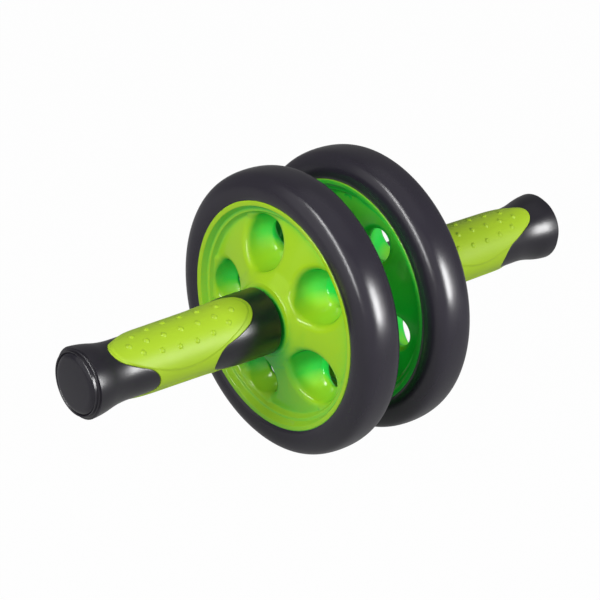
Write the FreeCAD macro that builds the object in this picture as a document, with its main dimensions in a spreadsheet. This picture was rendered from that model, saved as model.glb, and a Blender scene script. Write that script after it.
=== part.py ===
"""Ab wheel roller: two free wheels on a steel rod between two handles.

X runs along the rod, Z is up, and the origin is on the floor under the rod's middle.
Each piece is drawn once for the right-hand side and turned half a turn for the left.
"""
import FreeCAD, Part
import math
import operator
import os
from types import SimpleNamespace

import Sketcher

Vector = FreeCAD.Vector
X_AXIS = Vector(1, 0, 0)
Z_AXIS = Vector(0, 0, 1)
FULL_TURN = 360
HALF_TURN = 180
NUT_SIDES = 6
HALF_STEP_SHARE = 0.5

SIZES = {
    # Both wheels
    "wheel_diameter": 180.0,
    "wheel_spacing": 57.2,
    "left_wheel_turn": -13.0,
    "right_wheel_turn": 35.0,
    # Tyre
    "tyre_width": 30.9,
    "tyre_depth": 22.0,
    "tyre_crown_width": 19.0,
    "tyre_crown_drop": 0.96,
    "tyre_shoulder_height": 11.0,
    "tyre_shoulder_round_share": 0.737,
    "tyre_lip_height": 3.8,
    "tyre_lip_clearance": 0.15,
    # Rim halves
    "rim_face_inset": 1.65,
    "rim_flange_height": 4.0,
    "rim_flange_thickness": 3.3,
    "rim_wall": 2.8,
    "rim_lip_width": 2.6,
    "rim_slope_width": 2.4,
    "rim_ledge_width": 1.8,
    "rim_ledge_depth": 3.4,
    "rim_ledge_rise": 0.6,
    "rim_step_width": 1.7,
    "rim_dish_depth": 7.2,
    "rim_step_round": 1.0,
    "web_rise": 3.4,
    "web_foot_round": 2.0,
    "hub_half_width": 20.2,
    "hub_boss_radius": 23.6,
    "hub_boss_spread": 4.6,
    "hub_boss_round": 1.8,
    "hub_foot_round": 6.0,
    "hub_wall": 5.0,
    # Scooped holes through the rim
    "hole_count": 5,
    "hole_margin": 0.5,
    "hole_bowl_round": 26.3,
    "hole_neck_radius": 10.0,
    "hole_neck_depth": 5.0,
    "hole_lip_width": 3.0,
    "hole_lip_round": 3.6,
    # Screws that hold the rim halves together
    "screw_shank_radius": 1.7,
    "screw_head_radius": 3.4,
    "screw_head_height": 2.2,
    "screw_recess": 0.8,
    "screw_reach": 5.0,
    "screw_clearance": 0.3,
    "screw_wall": 2.0,
    # Bushes and washers on the rod
    "bush_wall": 2.6,
    "bush_length": 16.0,
    "bush_flange_thickness": 1.6,
    "bush_flange_width": 2.6,
    "bush_pocket_clearance": 0.2,
    "running_clearance": 0.05,
    "hub_play": 0.3,
    "thrust_washer_thickness": 1.0,
    "spacer_wall": 4.0,
    # Rod
    "rod_radius": 7.0,
    "rod_shoulder": 1.0,
    "rod_thread_depth": 1.0,
    "rod_thread_run": 8.0,
    "rod_end_reach": 2.0,
    "rod_chamfer": 1.0,
    "fit_clearance": 0.02,
    # Handle cores
    "handle_length": 137.2,
    "handle_roll": 28.0,
    "collar_length": 20.0,
    "collar_taper_length": 35.0,
    "collar_flare": 2.3,
    "collar_round": 1.8,
    "grip_inner_radius": 18.65,
    "grip_outer_radius": 18.15,
    "end_flare": 3.85,
    "end_flare_length": 30.0,
    "end_round": 3.0,
    "core_sleeve_wall": 2.6,
    "core_skin": 2.8,
    "core_rib": 2.4,
    "core_rib_count": 6,
    "core_hollow_margin": 12.0,
    # Grips
    "grip_thickness": 2.6,
    "grip_proud": 0.4,
    "grip_inner_notch": 48.1,
    "grip_outer_notch": 89.1,
    "notch_round": 12.0,
    "inner_notch_flank_share": 2.7,
    "outer_notch_flank_share": 3.1,
    "lobe_round": 34.0,
    "inner_lobe_start_share": 0.761,
    "outer_lobe_start_share": 0.695,
    "pad_rise": 0.6,
    "pad_length": 96.0,
    "pad_width": 35.2,
    "pad_centre": 67.6,
    "nub_radius": 2.0,
    "nub_rise": 0.8,
    "nub_pitch": 12.35,
    "nub_row_angle": 30.2,
    "nub_row_bow_angle": 15.5,
    "nub_pairs": 3,
    # End caps
    "cap_radius": 18.6,
    "cap_thickness": 3.0,
    "cap_rise": 1.2,
    "cap_flat_radius": 8.0,
    "cap_clearance": 0.1,
    "cap_edge_round": 1.8,
    "plug_radius": 15.0,
    "plug_wall": 2.0,
    "plug_length": 7.0,
    "plug_gap": 0.4,
    # Lock nuts and their washers
    "nut_flat_width": 17.0,
    "nut_height": 9.0,
    "nut_pocket_depth": 22.0,
    "nut_pocket_clearance": 1.6,
    "end_washer_thickness": 1.6,
    "end_washer_width": 4.2,
    # Extra length of every cutting shape
    "overrun": 10.0,
}


class Size:
    """A number together with the sheet formula that gives it."""

    def __init__(self, value, formula):
        self.value = value
        self.formula = formula

    def joined(self, other, sign, work):
        """Return this size and another one joined by an arithmetic sign."""
        if not isinstance(other, Size):
            other = Size(other, repr(other))
        return Size(work(self.value, other.value), f"({self.formula} {sign} {other.formula})")

    def __add__(self, other):
        return self.joined(other, "+", operator.add)

    def __sub__(self, other):
        return self.joined(other, "-", operator.sub)

    def __mul__(self, other):
        return self.joined(other, "*", operator.mul)

    def __truediv__(self, other):
        return self.joined(other, "/", operator.truediv)

    def __neg__(self):
        return Size(-self.value, f"(-{self.formula})")


def root(size):
    """Return the square root of a size."""
    return Size(math.sqrt(size.value), f"sqrt({size.formula})")


def hypotenuse(width, height):
    """Return the long side of a right-angled triangle."""
    return root(width * width + height * height)


doc = FreeCAD.newDocument("AbWheelRoller")
sheet = doc.addObject("Spreadsheet::Sheet", "Sizes")
for row, (name, number) in enumerate(SIZES.items(), 1):
    sheet.set(f"A{row}", name)
    sheet.set(f"B{row}", str(number))
    sheet.setAlias(f"B{row}", name)
doc.recompute()
size = SimpleNamespace(**{name: Size(number, f"Sizes.{name}") for name, number in SIZES.items()})

# Sizes that several pieces share
axle_height = size.wheel_diameter / 2
wheel_offset = size.wheel_spacing / 2
tyre_half = size.tyre_width / 2
seat_radius = axle_height - size.tyre_depth
flange_radius = seat_radius + size.rim_flange_height
rim_face = tyre_half - size.rim_face_inset
flange_back = rim_face - size.rim_flange_thickness
journal_bore = size.rod_radius + size.running_clearance
bush_radius = journal_bore + size.bush_wall
bush_flange_radius = bush_radius + size.bush_flange_width
bush_pocket_radius = bush_flange_radius + size.bush_pocket_clearance
bush_pocket_floor = size.hub_half_width - size.bush_flange_thickness
hub_tube_radius = bush_radius + size.hub_wall
web_outer_radius = (flange_radius - size.rim_lip_width - size.rim_slope_width
                    - size.rim_ledge_width - size.rim_step_width)
web_inner_radius = size.hub_boss_radius + size.hub_boss_spread
web_rim_height = rim_face - size.rim_dish_depth
web_hub_height = web_rim_height + size.web_rise
hole_circle = (web_outer_radius + web_inner_radius) / 2
hole_mouth = (web_outer_radius - web_inner_radius) / 2 - size.hole_margin
hole_surface = (web_rim_height + web_hub_height) / 2
thrust_reach = size.hub_half_width + size.hub_play
handle_start = wheel_offset + thrust_reach + size.thrust_washer_thickness
handle_end = handle_start + size.handle_length
core_bore = size.rod_radius - size.rod_shoulder + size.fit_clearance
nut_seat = handle_end - size.nut_pocket_depth
nut_start = nut_seat + size.end_washer_thickness
nut_corner_share = 1 / math.cos(math.pi / NUT_SIDES)
nut_corner_radius = size.nut_flat_width / 2 * nut_corner_share
nut_pocket_radius = nut_corner_radius + size.nut_pocket_clearance
thread_radius = size.rod_radius - size.rod_shoulder - size.rod_thread_depth
end_washer_radius = thread_radius + size.end_washer_width
collar_radius = size.grip_inner_radius + size.collar_flare
end_radius = size.grip_outer_radius + size.end_flare
taper_start = handle_start + size.collar_length
taper_end = taper_start + size.collar_taper_length
flare_start = handle_end - size.end_flare_length


# Drawing and solid-making steps


def new_body(label):
    """Return an empty body that may hold several solids."""
    body = doc.addObject("PartDesign::Body", label)
    body.Label = label
    body.AllowCompound = True
    return body


def origin_item(body, role):
    """Return the plane or axis of a body's origin that has the role."""
    return next(item for item in body.Origin.OriginFeatures if item.Role == role)


def new_sketch(body, name, role="XY_Plane", offset=None):
    """Return an empty sketch on one of the body's planes, moved along its normal by offset."""
    sketch = body.newObject("Sketcher::SketchObject", name)
    sketch.AttachmentSupport = (origin_item(body, role), [""])
    sketch.MapMode = "FlatFace"
    if offset is not None:
        sketch.setExpression("AttachmentOffset.Base.z", offset.formula)
    return sketch


def number_of(coordinate):
    """Return the plain number of a size, or of a bare zero."""
    return coordinate.value if isinstance(coordinate, Size) else coordinate


def as_vector(point):
    """Return a sketch point as a vector."""
    return Vector(number_of(point[0]), number_of(point[1]), 0)


def pin(sketch, edge, end, point):
    """Hold one end of an edge at a point whose coordinates are sizes or zero."""
    for axis, kind, coordinate in ((-2, "DistanceX", point[0]), (-1, "DistanceY", point[1])):
        if not isinstance(coordinate, Size):
            sketch.addConstraint(Sketcher.Constraint("PointOnObject", edge, end, axis))
            continue
        place = Sketcher.Constraint(kind, -1, 1, edge, end, coordinate.value)
        index = sketch.addConstraint(place)
        sketch.setExpression(f"Constraints[{index}]", coordinate.formula)


def arc_between(start, end, radius, left):
    """Return an arc of under half a turn whose centre lies left or right of the way along it."""
    chord = end - start
    aside = Vector(-chord.y, chord.x, 0).normalize() * (1 if left else -1)
    rise = math.sqrt(radius ** 2 - (chord.Length / 2) ** 2)
    circle = Part.Circle((start + end) / 2 + aside * rise, Z_AXIS, radius)
    first, last = (start, end) if left else (end, start)
    begin = circle.parameter(first)
    finish = circle.parameter(last)
    if finish < begin:
        finish += 2 * math.pi
    return Part.ArcOfCircle(circle, begin, finish)


def draw_outline(sketch, points, rounds=None):
    """Draw a closed outline; rounds maps a point's number to the (radius, left) of the arc after it."""
    rounds = rounds or {}
    ends = []
    for number, point in enumerate(points):
        start = as_vector(point)
        end = as_vector(points[(number + 1) % len(points)])
        if number in rounds:
            radius, left = rounds[number]
            sketch.addGeometry(arc_between(start, end, radius.value, left), False)
            ends.append((1, 2) if left else (2, 1))
        else:
            sketch.addGeometry(Part.LineSegment(start, end), False)
            ends.append((1, 2))
    for number in range(len(points)):
        after = (number + 1) % len(points)
        meet = Sketcher.Constraint("Coincident", number, ends[number][1], after, ends[after][0])
        sketch.addConstraint(meet)
    for number, point in enumerate(points):
        pin(sketch, number, ends[number][0], point)
    for number, (radius, left) in rounds.items():
        index = sketch.addConstraint(Sketcher.Constraint("Radius", number, radius.value))
        sketch.setExpression(f"Constraints[{index}]", radius.formula)


def draw_axis(sketch, start, end):
    """Draw a construction line that a shape is turned about."""
    edge = sketch.addGeometry(Part.LineSegment(as_vector(start), as_vector(end)), True)
    pin(sketch, edge, 1, start)
    pin(sketch, edge, 2, end)


def turn(body, sketch, axis="H_Axis"):
    """Turn a sketch a full turn about one of its axes."""
    feature = body.newObject("PartDesign::Revolution", f"{sketch.Name}_turned")
    feature.Profile = sketch
    feature.ReferenceAxis = (sketch, [axis])
    feature.Angle = FULL_TURN
    return feature


def turned_body(label, points, rounds=None):
    """Return a body turned about X from an outline of (x, radius) points, and its feature."""
    body = new_body(label)
    sketch = new_sketch(body, f"{label}_outline")
    draw_outline(sketch, points, rounds)
    return body, turn(body, sketch)


def spread(body, feature, count):
    """Repeat a feature evenly about X."""
    pattern = body.newObject("PartDesign::PolarPattern", f"{feature.Name}_spread")
    pattern.Originals = [feature]
    pattern.Axis = (origin_item(body, "X_Axis"), [""])
    pattern.Angle = FULL_TURN
    pattern.setExpression("Occurrences", count.formula)
    body.Tip = pattern


def spread_turned(label, points, rounds, axis_radius, count):
    """Return a body of shapes turned about lines parallel to X and repeated about X."""
    body = new_body(label)
    sketch = new_sketch(body, f"{label}_outline", "XZ_Plane")
    draw_outline(sketch, points, rounds)
    draw_axis(sketch, (-size.overrun, axis_radius), (size.overrun, axis_radius))
    spread(body, turn(body, sketch, "Axis0"), count)
    return body


def round_circles(body, feature, places, radius):
    """Round the circular edges of a turned feature that lie at (x, radius) places."""
    doc.recompute()
    spots = [as_vector(place) for place in places]
    names = []
    for number, edge in enumerate(feature.Shape.Edges, 1):
        if not isinstance(edge.Curve, Part.Circle):
            continue
        spot = Vector(edge.Curve.Center.x, edge.Curve.Radius, 0)
        if any(spot.isEqual(place, size.fit_clearance.value) for place in spots):
            names.append(f"Edge{number}")
    fillet = body.newObject("PartDesign::Fillet", f"{feature.Name}_rounded")
    fillet.Base = (feature, names)
    fillet.setExpression("Radius", radius.formula)
    body.Tip = fillet
    return fillet


def combine(kind, label, base, tool):
    """Return a Part::Cut, Part::Fuse or Part::Common of two objects."""
    result = doc.addObject(f"Part::{kind}", label)
    result.Base = base
    result.Tool = tool
    result.Label = label
    return result


# Placing finished pieces

NODES = []


def place(piece, x=None, spin=0, flip=False):
    """Set a finished piece on the axle line, spun about X after an optional half turn about Z."""
    half_turn = FreeCAD.Rotation(Z_AXIS, HALF_TURN if flip else 0)
    rotation = FreeCAD.Rotation(X_AXIS, spin) * half_turn
    piece.Placement = FreeCAD.Placement(Vector(0, 0, axle_height.value), rotation)
    piece.setExpression("Placement.Base.z", axle_height.formula)
    if x is not None:
        piece.setExpression("Placement.Base.x", x.formula)
    NODES.append(piece)


# Wheels


def make_tyre(label):
    """Rubber ring whose inner rib is clamped between the rim halves."""
    crown_half = size.tyre_crown_width / 2
    crown_edge = axle_height - size.tyre_crown_drop
    shoulder_foot = axle_height - size.tyre_shoulder_height
    lip_inner = flange_radius + size.tyre_lip_clearance
    lip_outer = flange_radius + size.tyre_lip_height
    side = [(flange_back, seat_radius), (flange_back, lip_inner), (rim_face, lip_inner),
            (tyre_half, lip_outer), (tyre_half, shoulder_foot), (crown_half, crown_edge)]
    mirrored = [(-x, radius) for x, radius in reversed(side)]
    crown_round = (crown_half * crown_half + size.tyre_crown_drop * size.tyre_crown_drop) / (
        size.tyre_crown_drop * 2)
    shoulder_chord = hypotenuse(tyre_half - crown_half, crown_edge - shoulder_foot)
    shoulder_round = shoulder_chord * size.tyre_shoulder_round_share
    rounds = {4: (shoulder_round, True), 5: (crown_round, True), 6: (shoulder_round, True)}
    body, feature = turned_body(label, side + mirrored, rounds)
    return body


def rim_solid(label):
    """Full half of the rim, from its middle plane to the dished face."""
    boss_corner = (size.hub_half_width, size.hub_boss_radius)
    hub_foot = (web_hub_height, web_inner_radius)
    web_foot = (web_rim_height, web_outer_radius)
    ledge_height = rim_face - size.rim_ledge_depth
    ledge_inner = (ledge_height - size.rim_ledge_rise, web_outer_radius + size.rim_step_width)
    ledge_outer = (ledge_height, ledge_inner[1] + size.rim_ledge_width)
    lip_corner = (rim_face, flange_radius - size.rim_lip_width)
    points = [(0, bush_radius), (bush_pocket_floor, bush_radius),
              (bush_pocket_floor, bush_pocket_radius), (size.hub_half_width, bush_pocket_radius),
              boss_corner, hub_foot, web_foot, ledge_inner, ledge_outer, lip_corner,
              (rim_face, flange_radius), (flange_back, flange_radius), (flange_back, seat_radius),
              (0, seat_radius)]
    body, feature = turned_body(label, points)
    feature = round_circles(body, feature, [hub_foot], size.hub_foot_round)
    feature = round_circles(body, feature, [web_foot], size.web_foot_round)
    feature = round_circles(body, feature, [boss_corner], size.hub_boss_round)
    round_circles(body, feature, [ledge_inner, ledge_outer, lip_corner], size.rim_step_round)
    return body


def rim_cavity(label):
    """Space inside the hollow half of the rim."""
    roof = size.hub_half_width - size.rim_wall
    points = [(-size.overrun, hub_tube_radius), (roof, hub_tube_radius),
              (roof, size.hub_boss_radius - size.rim_wall),
              (web_hub_height - size.rim_wall, web_inner_radius - size.rim_wall),
              (web_rim_height - size.rim_wall, web_outer_radius),
              (web_rim_height, seat_radius - size.rim_wall),
              (-size.overrun, seat_radius - size.rim_wall)]
    body, feature = turned_body(label, points)
    return body


def bowl_middle():
    """Radius of a hole in the rim's middle plane, on the arc from the mouth to the neck."""
    run = hole_surface + size.hole_neck_depth
    drop = hole_mouth - size.hole_neck_radius
    chord = hypotenuse(run, drop)
    away = root(size.hole_bowl_round * size.hole_bowl_round - chord * chord / 4)
    centre_x = (hole_surface - size.hole_neck_depth) / 2 + drop / chord * away
    centre_radius = (hole_mouth + size.hole_neck_radius) / 2 - run / chord * away
    return centre_radius + root(size.hole_bowl_round * size.hole_bowl_round - centre_x * centre_x)


def outer_hole(extra):
    """Bowl of one hole in the outer half, widened all over by extra, and its arc."""
    middle = hole_circle + bowl_middle() + extra
    mouth = hole_circle + hole_mouth + extra
    top = size.hub_half_width + size.overrun
    points = [(-size.overrun, hole_circle), (-size.overrun, middle), (0, middle), (hole_surface, mouth),
              (top, mouth), (top, hole_circle)]
    return points, {2: (size.hole_bowl_round, False)}


def inner_hole(extra):
    """Foot of one hole's bowl and its rounded lip in the inner half, and their arcs."""
    middle = hole_circle + bowl_middle() + extra
    neck = hole_circle + size.hole_neck_radius + extra
    top = size.hub_half_width + size.overrun
    points = [(-size.overrun, hole_circle), (-size.overrun, middle), (0, middle),
              (size.hole_neck_depth, neck), (hole_surface, neck + size.hole_lip_width),
              (top, neck + size.hole_lip_width), (top, hole_circle)]
    return points, {2: (size.hole_bowl_round, False), 3: (size.hole_lip_round, True)}


def screw_post(label, radius):
    """Posts that the rim screws pass through, midway between the holes."""
    top = size.hub_half_width + size.overrun
    points = [(-size.overrun, -hole_circle), (-size.overrun, -hole_circle - radius),
              (top, -hole_circle - radius), (top, -hole_circle)]
    return spread_turned(label, points, None, -hole_circle, size.hole_count)


def screw_cut(label, shank_radius, head_radius, seat):
    """Screw holes: a shank hole, and a head recess above the seat."""
    top = size.hub_half_width + size.overrun
    points = [(-size.overrun, -hole_circle), (-size.overrun, -hole_circle - shank_radius),
              (seat, -hole_circle - shank_radius), (seat, -hole_circle - head_radius),
              (top, -hole_circle - head_radius), (top, -hole_circle)]
    return spread_turned(label, points, None, -hole_circle, size.hole_count)


def pilot_cut(label):
    """Blind holes that the screws cut their thread in."""
    points = [(-size.overrun, -hole_circle), (-size.overrun, -hole_circle - size.screw_shank_radius),
              (size.screw_reach, -hole_circle - size.screw_shank_radius),
              (size.screw_reach, -hole_circle)]
    return spread_turned(label, points, None, -hole_circle, size.hole_count)


screw_seat = hole_surface - size.screw_recess - size.screw_head_height
head_recess_radius = size.screw_head_radius + size.screw_clearance


def make_rim_half(label, hole, screw_holes, post_radius):
    """One hollow moulded half of a rim, with its tunnels and screw posts."""
    tunnel, arcs = hole(size.rim_wall)
    tunnels = spread_turned(f"{label}_tunnels", tunnel, arcs, hole_circle, size.hole_count)
    posts = screw_post(f"{label}_posts", post_radius)
    kept = combine("Fuse", f"{label}_kept", tunnels, posts)
    hollow = combine("Cut", f"{label}_hollow", rim_cavity(f"{label}_cavity"), kept)
    shell = combine("Cut", f"{label}_shell", rim_solid(f"{label}_solid"), hollow)
    mouth, arcs = hole(0)
    holes = spread_turned(f"{label}_holes", mouth, arcs, hole_circle, size.hole_count)
    opened = combine("Cut", f"{label}_opened", shell, holes)
    return combine("Cut", label, opened, screw_holes)


def make_outer_rim(label):
    """Rim half on the handle's side, which the screws end in."""
    post_radius = size.screw_shank_radius + size.screw_wall
    return make_rim_half(label, outer_hole, pilot_cut(f"{label}_pilots"), post_radius)


def make_inner_rim(label):
    """Rim half on the spacer's side, which holds the screw heads."""
    shank_radius = size.screw_shank_radius + size.screw_clearance
    screw_holes = screw_cut(f"{label}_screw_holes", shank_radius, head_recess_radius, screw_seat)
    return make_rim_half(label, inner_hole, screw_holes, head_recess_radius + size.screw_wall)


def make_rim_screws(label):
    """Pan-head screws, drawn from the inner half's face inwards."""
    head_top = screw_seat + size.screw_head_height
    points = [(-size.screw_reach, -hole_circle),
              (-size.screw_reach, -hole_circle - size.screw_shank_radius),
              (screw_seat, -hole_circle - size.screw_shank_radius),
              (screw_seat, -hole_circle - size.screw_head_radius),
              (head_top, -hole_circle - size.screw_head_radius), (head_top, -hole_circle)]
    return spread_turned(label, points, None, -hole_circle, size.hole_count)


def make_bush(label):
    """Flanged bush pressed into one end of a hub."""
    inner_end = size.hub_half_width - size.bush_length
    points = [(inner_end, journal_bore), (size.hub_half_width, journal_bore),
              (size.hub_half_width, bush_flange_radius), (bush_pocket_floor, bush_flange_radius),
              (bush_pocket_floor, bush_radius), (inner_end, bush_radius)]
    body, feature = turned_body(label, points)
    return body


def make_ring(label, start, end, inner, outer):
    """Plain ring on the rod."""
    points = [(start, inner), (end, inner), (end, outer), (start, outer)]
    body, feature = turned_body(label, points)
    return body


# Rod and handles


def make_rod(label):
    """Stepped rod with a shoulder for each handle and plain stand-ins for its end threads."""
    shank = size.rod_radius - size.rod_shoulder
    thread_start = nut_seat - size.rod_thread_run
    tip = nut_start + size.nut_height + size.rod_end_reach
    half = [(handle_start, size.rod_radius), (handle_start, shank), (thread_start, shank),
            (thread_start, thread_radius), (tip - size.rod_chamfer, thread_radius),
            (tip, thread_radius - size.rod_chamfer), (tip, 0)]
    mirrored = [(-x, radius) for x, radius in reversed(half)]
    body, feature = turned_body(label, half + mirrored)
    return body


def s_curve(length, rise):
    """Radius of the two equal arcs that join two parallel lines smoothly."""
    return (length * length + rise * rise) / (rise * 4)


def handle_line(start, offset):
    """Points of the handle's outer line from start to its end, moved out by offset, and its arcs."""
    taper_middle = (taper_start + taper_end) / 2
    flare_middle = (flare_start + handle_end) / 2
    points = [(start, collar_radius + offset), (taper_start, collar_radius + offset),
              (taper_middle, (collar_radius + size.grip_inner_radius) / 2 + offset),
              (taper_end, size.grip_inner_radius + offset),
              (flare_start, size.grip_outer_radius + offset),
              (flare_middle, (end_radius + size.grip_outer_radius) / 2 + offset),
              (handle_end, end_radius + offset)]
    taper = s_curve(size.collar_taper_length, size.collar_flare)
    flare = s_curve(size.end_flare_length, size.end_flare)
    return points, {1: (taper, False), 2: (taper, True), 4: (flare, True), 5: (flare, False)}


def handle_sleeve(label, outer_offset, inner_offset):
    """Skin of the handle between two offsets of its outer line."""
    start = handle_start + size.collar_length / 2
    outer, outer_rounds = handle_line(start, outer_offset)
    inner, inner_rounds = handle_line(start, inner_offset)
    back = len(outer)
    last = len(outer) - 2
    rounds = dict(outer_rounds)
    for number, (radius, left) in inner_rounds.items():
        rounds[back + last - number] = (radius, not left)
    body, feature = turned_body(label, outer + inner[::-1], rounds)
    return body


def notch(tip, slope, lobe_start, reach, outward):
    """Rounded V of the grip's end seen from the side, whose flanks bend over into blunt lobes."""
    steep = root(slope * slope + 1)
    arc_across = size.notch_round * slope / steep
    arc_depth = size.notch_round - size.notch_round / steep
    lobe_depth = arc_depth + (lobe_start - arc_across) * slope
    end_sine = slope / steep - (reach - lobe_start) / size.lobe_round
    end_cosine = root(-(end_sine * end_sine) + 1)
    depth = lobe_depth + size.lobe_round * end_cosine - size.lobe_round / steep
    arc_x = tip + arc_depth * outward
    lobe_x = tip + lobe_depth * outward
    end_x = tip + depth * outward
    upper = [(end_x, reach), (lobe_x, lobe_start), (arc_x, arc_across)]
    return upper + [(x, -across) for x, across in reversed(upper)]


def grip_block(label):
    """Block with a rounded V at each end, which cuts the grip out of the handle's skin."""
    body = new_body(label)
    sketch = new_sketch(body, f"{label}_outline", "XZ_Plane")
    reach = end_radius + size.pad_rise
    outer_tip = handle_start + size.grip_outer_notch
    inner_tip = handle_start + size.grip_inner_notch
    outer_lobe = reach * size.outer_lobe_start_share
    inner_lobe = reach * size.inner_lobe_start_share
    outer = notch(outer_tip, size.outer_notch_flank_share, outer_lobe, reach, 1)
    inner = notch(inner_tip, size.inner_notch_flank_share, inner_lobe, reach, -1)
    lobe_arc = (size.lobe_round, False)
    notch_arc = (size.notch_round, True)
    one_end = (lobe_arc, None, notch_arc, None, lobe_arc, None)
    rounds = {number: arc for number, arc in enumerate(one_end + one_end) if arc}
    draw_outline(sketch, outer + inner[::-1], rounds)
    block = body.newObject("PartDesign::Pad", f"{label}_pad")
    block.Profile = sketch
    block.SideType = "Symmetric"
    block.setExpression("Length", (reach * 2 + size.overrun).formula)
    return body


def pad_prism(label):
    """Upright oval prism that bounds the raised pads."""
    oval = doc.addObject("Part::Ellipse", f"{label}_oval")
    oval.setExpression("MajorRadius", (size.pad_length / 2).formula)
    oval.setExpression("MinorRadius", (size.pad_width / 2).formula)
    oval.setExpression("Placement.Base.x", (handle_start + size.pad_centre).formula)
    prism = doc.addObject("Part::Extrusion", label)
    prism.Base = oval
    prism.DirMode = "Custom"
    prism.Dir = Z_AXIS
    prism.Symmetric = True
    prism.Solid = True
    prism.setExpression("LengthFwd", (end_radius * 2 + size.overrun).formula)
    return prism


def skin_radius(x):
    """Radius of the handle's outer line at x, in plain numbers."""
    if x >= taper_end.value:
        share = (x - taper_end.value) / (flare_start.value - taper_end.value)
        narrowing = SIZES["grip_inner_radius"] - SIZES["grip_outer_radius"]
        return SIZES["grip_inner_radius"] - share * narrowing
    bend = s_curve(size.collar_taper_length, size.collar_flare).value
    to_waist = taper_end.value - x
    to_collar = x - taper_start.value
    if to_waist < to_collar:
        return SIZES["grip_inner_radius"] + bend - math.sqrt(bend ** 2 - to_waist ** 2)
    return collar_radius.value - bend + math.sqrt(bend ** 2 - to_collar ** 2)


def nub_places():
    """Return the (x, angle) of every nub on one pad: a middle row and a bowed row on each side."""
    middle = (handle_start + size.pad_centre).value
    pairs = SIZES["nub_pairs"]
    pitch = SIZES["nub_pitch"]
    places = [(middle + pitch * step, 0) for step in range(-pairs, pairs + 1)]
    for step in range(2 * pairs):
        along = step - pairs + HALF_STEP_SHARE
        bow = SIZES["nub_row_bow_angle"] * (along / pairs) ** 2
        angle = SIZES["nub_row_angle"] - bow
        places += [(middle + pitch * along, angle), (middle + pitch * along, -angle)]
    return places


def nub_field(label):
    """Balls sunk in both pads, whose tops are the nubs."""
    balls = []
    rise = SIZES["grip_proud"] + SIZES["pad_rise"] + SIZES["nub_rise"] - SIZES["nub_radius"]
    for x, angle in nub_places():
        for side in (0, HALF_TURN):
            across = math.radians(angle + side)
            radius = skin_radius(x) + rise
            centre = Vector(x, radius * math.sin(across), radius * math.cos(across))
            balls.append(Part.makeSphere(SIZES["nub_radius"], centre))
    field = doc.addObject("Part::Feature", label)
    field.Shape = Part.makeCompound(balls)
    return field


def make_grip_blank(label):
    """Smooth green part of the handle's skin, before its pads and nubs."""
    sleeve = handle_sleeve(f"{label}_sleeve", size.grip_proud, -size.grip_thickness)
    return combine("Common", label, sleeve, grip_block(f"{label}_block"))


def make_grip(label, blank):
    """Soft grip with raised pads and nubs, front and back."""
    skin = handle_sleeve(f"{label}_skin", size.grip_proud + size.pad_rise, -size.grip_proud)
    pads = combine("Common", f"{label}_pads", skin, pad_prism(f"{label}_prism"))
    padded = combine("Fuse", f"{label}_padded", blank, pads)
    return combine("Fuse", label, padded, nub_field(f"{label}_nubs"))


def core_hollows(label):
    """Spaces between the ribs that join the core's inner sleeve to its skin."""
    inner = core_bore + size.core_sleeve_wall
    outer = size.grip_outer_radius - size.grip_thickness - size.core_skin
    body = new_body(label)
    sketch = new_sketch(body, f"{label}_outline", "YZ_Plane", handle_start + size.core_hollow_margin)
    rib_half = size.core_rib / 2
    spacing = math.radians(FULL_TURN / SIZES["core_rib_count"])
    lean_share = math.tan(spacing / 2)
    inner_half = inner * lean_share - rib_half
    outer_half = outer * math.sin(spacing / 2) - rib_half
    outer_height = root(outer * outer - outer_half * outer_half)
    points = [(-inner_half, inner), (inner_half, inner), (outer_half, outer_height),
              (-outer_half, outer_height)]
    draw_outline(sketch, points, {2: (outer, True)})
    pocket = body.newObject("PartDesign::Pad", f"{label}_pad")
    pocket.Profile = sketch
    length = nut_seat - handle_start - size.core_hollow_margin + size.end_washer_thickness
    pocket.setExpression("Length", length.formula)
    spread(body, pocket, size.core_rib_count)
    return body


def make_core(label, blank):
    """Dark moulded core of a handle, flared at both ends, with seats for the cap and the nut."""
    line, rounds = handle_line(handle_start, 0)
    cap_seat = handle_end - size.cap_thickness
    socket_floor = cap_seat - size.plug_length - size.plug_gap
    cap_hole = size.cap_radius + size.cap_clearance
    inside = [(handle_end, cap_hole), (cap_seat, cap_hole), (cap_seat, size.plug_radius),
              (socket_floor, size.plug_radius), (socket_floor, nut_pocket_radius),
              (nut_seat, nut_pocket_radius), (nut_seat, core_bore), (handle_start, core_bore)]
    body, feature = turned_body(f"{label}_full", line + inside, rounds)
    feature = round_circles(body, feature, [line[0]], size.collar_round)
    round_circles(body, feature, [line[-1]], size.end_round)
    hollowed = combine("Cut", f"{label}_hollowed", body, core_hollows(f"{label}_hollows"))
    return combine("Cut", label, hollowed, blank)


def make_cap(label):
    """Snap-in end cap with a domed face, flat in the middle, and a plug ring behind it."""
    cap_seat = handle_end - size.cap_thickness
    plug_end = cap_seat - size.plug_length
    plug_inner = size.plug_radius - size.plug_wall
    edge = (handle_end, size.cap_radius)
    face = handle_end + size.cap_rise
    dome_run = size.cap_radius - size.cap_flat_radius
    dome = (dome_run * dome_run + size.cap_rise * size.cap_rise) / (size.cap_rise * 2)
    points = [(cap_seat, 0), (face, 0), (face, size.cap_flat_radius), edge,
              (cap_seat, size.cap_radius), (cap_seat, size.plug_radius), (plug_end, size.plug_radius),
              (plug_end, plug_inner), (cap_seat, plug_inner)]
    body, feature = turned_body(label, points, {2: (dome, False)})
    round_circles(body, feature, [edge], size.cap_edge_round)
    return body


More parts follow.
